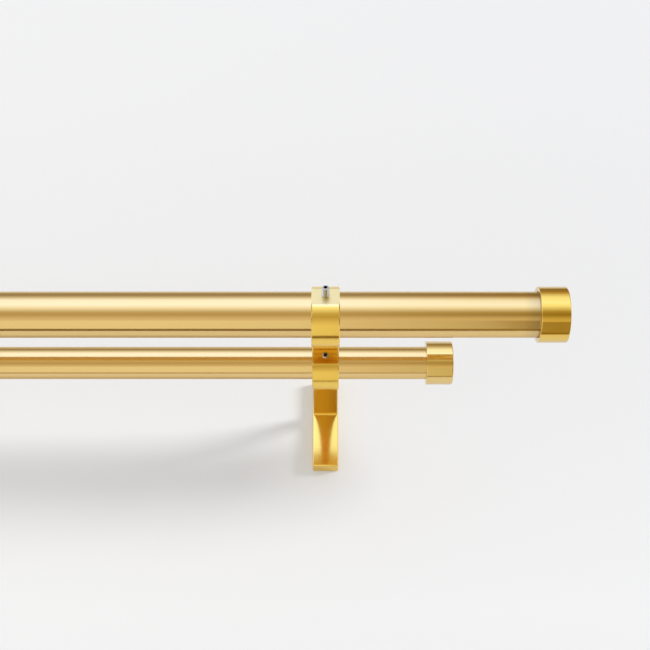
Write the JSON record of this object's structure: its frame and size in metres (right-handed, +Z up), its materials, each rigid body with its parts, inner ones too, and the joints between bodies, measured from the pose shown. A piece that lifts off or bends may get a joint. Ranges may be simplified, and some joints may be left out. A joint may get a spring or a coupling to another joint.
{
  "type": "double curtain pole",
  "caption": "Double curtain pole: a larger front tube and a smaller rear tube with drum end caps, held by grub screws in the rings of flat wall brackets with hidden fixing.",
  "frame": {"origin": "centre of the rectangle of wall screw holes, on the wall plane midway between the brackets", "axes": "+X along the poles to the right as seen from the room, +Y into the wall, +Z up"},
  "size_m": [0.9048, 0.1621, 0.0626],
  "materials": {
    "satin_brass_tube": "satin",
    "polished_brass_cap": "polished",
    "cast_brass": "polished",
    "bright_steel": "bright",
    "zinc_steel": "zinc plated",
    "black_nylon": "moulded"
  },
  "bodies": {
    "root": {"front_pole": "satin_brass_tube", "rear_pole": "satin_brass_tube", "front_end_cap_right": "polished_brass_cap", "rear_end_cap_right": "polished_brass_cap", "front_cap_plug_right": "black_nylon", "rear_cap_plug_right": "black_nylon", "bracket_arm_right": "cast_brass", "base_right": "cast_brass", "wall_plate_right": "zinc_steel", "front_grub_screw_right": "bright_steel", "rear_grub_screw_right": "bright_steel", "base_grub_screw_right": "bright_steel", "front_end_cap_left": "polished_brass_cap", "rear_end_cap_left": "polished_brass_cap", "front_cap_plug_left": "black_nylon", "rear_cap_plug_left": "black_nylon", "bracket_arm_left": "cast_brass", "base_left": "cast_brass", "wall_plate_left": "zinc_steel", "front_grub_screw_left": "bright_steel", "rear_grub_screw_left": "bright_steel", "base_grub_screw_left": "bright_steel"}
  },
  "joints": []
}
